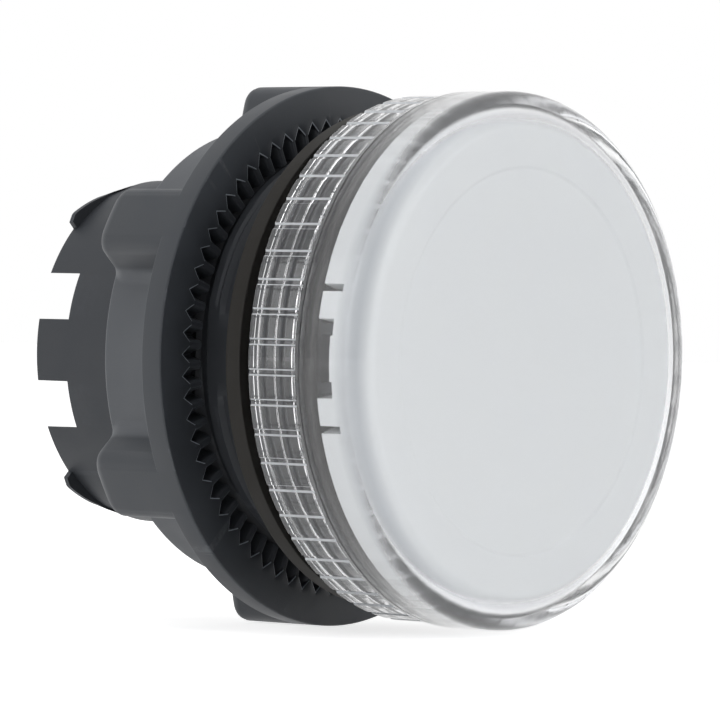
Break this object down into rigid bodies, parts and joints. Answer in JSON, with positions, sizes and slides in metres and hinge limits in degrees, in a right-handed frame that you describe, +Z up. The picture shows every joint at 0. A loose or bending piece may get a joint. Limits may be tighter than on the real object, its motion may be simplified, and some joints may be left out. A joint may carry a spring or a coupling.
{
  "type": "panel pilot light",
  "caption": "Round panel pilot light head with a clear ribbed lens cap, opal diffuser, threaded barrel with a notched end, panel seal and lobed fixing nut.",
  "frame": {"origin": "on the axis, in the plane where the panel's front face meets the panel seal", "axes": "lens faces -Y, barrel and nut towards +Y along the axis, +Z up, the barrel's flats on -X and +X"},
  "size_m": [0.0288, 0.0265, 0.0288],
  "materials": {
    "barrel_plastic": "satin moulded plastic, blue grey",
    "nut_plastic": "satin moulded plastic, blue grey",
    "panel_seal_rubber": "dull rubber, brown black",
    "lens_seal_rubber": "dull rubber, black",
    "clear_lens": "clear moulded plastic, glossy",
    "opal_plastic": "smooth opal white plastic"
  },
  "bodies": {
    "head": {"barrel": "barrel_plastic", "panel_seal": "panel_seal_rubber", "lens_seal": "lens_seal_rubber"},
    "cap": {"lens_cap": "clear_lens", "diffuser": "opal_plastic"},
    "nut": {"fixing_nut": "nut_plastic"}
  },
  "joints": [
    {"name": "cap_travel", "type": "slide", "parent": "head", "child": "cap", "axis": [0, -1, 0], "range_m": [0, 0.006]},
    {"name": "nut_travel", "type": "slide", "parent": "head", "child": "nut", "axis": [0, 1, 0], "range_m": [-0.0023, 0.0138]}
  ]
}
